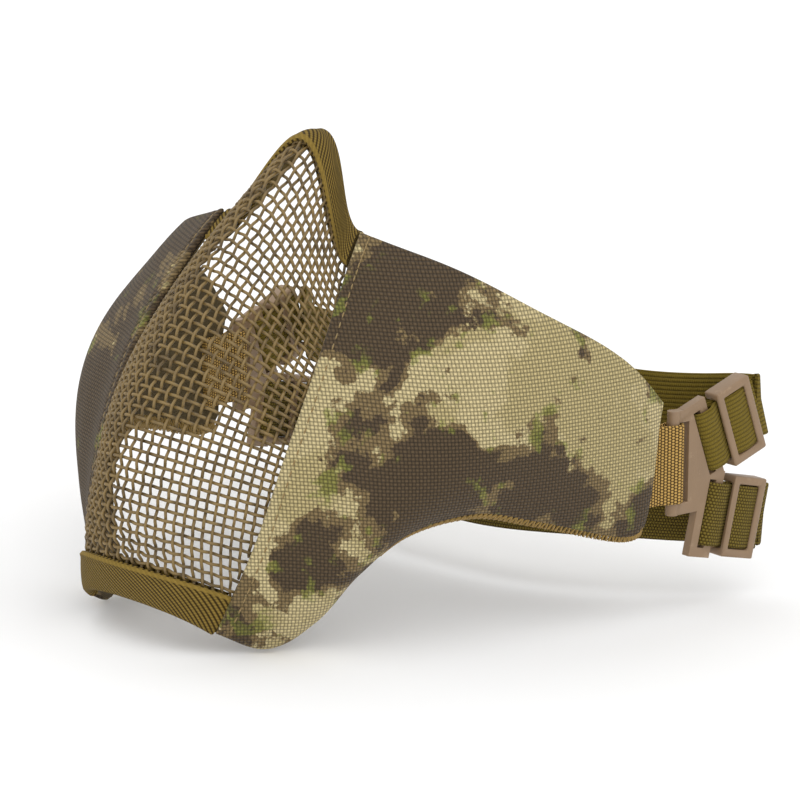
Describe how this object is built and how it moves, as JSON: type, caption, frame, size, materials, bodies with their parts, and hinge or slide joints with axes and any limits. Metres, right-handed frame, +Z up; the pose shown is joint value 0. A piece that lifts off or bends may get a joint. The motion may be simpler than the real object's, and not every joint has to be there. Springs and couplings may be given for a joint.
{
  "type": "half-face mesh mask",
  "caption": "Half-face mask of woven wire mesh with two padded camouflage cheek panels and a two-strap adjustable elastic harness.",
  "frame": {"origin": "middle of the face opening, on the middle plane, where the wearer's mouth sits", "axes": "+X towards the wearer's left, -Y out of the front of the muzzle, +Z up towards the nose"},
  "size_m": [0.2168, 0.1822, 0.1481],
  "materials": {
    "painted_wire": "satin",
    "twill_tape": "matte",
    "camo_nylon": "matte",
    "foam": "matte",
    "lining_fabric": "matte",
    "edge_thread": "matte",
    "sewing_thread": "matte",
    "tan_webbing": "matte",
    "tan_plastic": "satin",
    "olive_elastic": "matte"
  },
  "bodies": {
    "mask": {"wire_mesh": "painted_wire", "nose_binding": "twill_tape", "chin_binding": "twill_tape", "cheek_shell_left": "camo_nylon", "cheek_shell_right": "camo_nylon", "cheek_foam_left": "foam", "cheek_foam_right": "foam", "cheek_lining_left": "lining_fabric", "cheek_lining_right": "lining_fabric", "cheek_overlock_left": "edge_thread", "cheek_overlock_right": "edge_thread", "seam_stitches_left": "sewing_thread", "seam_stitches_right": "sewing_thread", "ring_anchor_left": "tan_webbing", "ring_anchor_right": "tan_webbing", "anchor_stitches_left": "sewing_thread", "anchor_stitches_right": "sewing_thread", "upper_strap": "olive_elastic", "lower_strap": "olive_elastic"},
    "ring_left": {"ring_left": "tan_plastic", "upper_strap_end_left": "olive_elastic", "lower_strap_end_left": "olive_elastic"},
    "upper_slider_left": {"upper_slider_left": "tan_plastic"},
    "lower_slider_left": {"lower_slider_left": "tan_plastic"},
    "ring_right": {"ring_right": "tan_plastic", "upper_strap_end_right": "olive_elastic", "lower_strap_end_right": "olive_elastic"},
    "upper_slider_right": {"upper_slider_right": "tan_plastic"},
    "lower_slider_right": {"lower_slider_right": "tan_plastic"}
  },
  "joints": [
    {"name": "ring_left_swivel", "type": "hinge", "parent": "mask", "child": "ring_left", "pos_m": [0.1, 0.065, -0.016], "axis": [0, 0, 1], "range_deg": [-20, 20], "deforming": ["upper_strap", "lower_strap"]},
    {"name": "upper_slider_left_slide", "type": "slide", "parent": "ring_left", "child": "upper_slider_left", "axis": [0.1308, 0.9305, 0.342], "range_m": [0, 0.005], "deforming": ["upper_strap"]},
    {"name": "lower_slider_left_slide", "type": "slide", "parent": "ring_left", "child": "lower_slider_left", "axis": [0.1356, 0.9649, -0.225], "range_m": [0, 0.005], "deforming": ["lower_strap"]},
    {"name": "ring_right_swivel", "type": "hinge", "parent": "mask", "child": "ring_right", "pos_m": [-0.1, 0.065, -0.016], "axis": [0, 0, 1], "range_deg": [-20, 20], "deforming": ["upper_strap", "lower_strap"]},
    {"name": "upper_slider_right_slide", "type": "slide", "parent": "ring_right", "child": "upper_slider_right", "axis": [-0.1308, 0.9305, 0.342], "range_m": [0, 0.005], "deforming": ["upper_strap"]},
    {"name": "lower_slider_right_slide", "type": "slide", "parent": "ring_right", "child": "lower_slider_right", "axis": [-0.1356, 0.9649, -0.225], "range_m": [0, 0.005], "deforming": ["lower_strap"]}
  ]
}
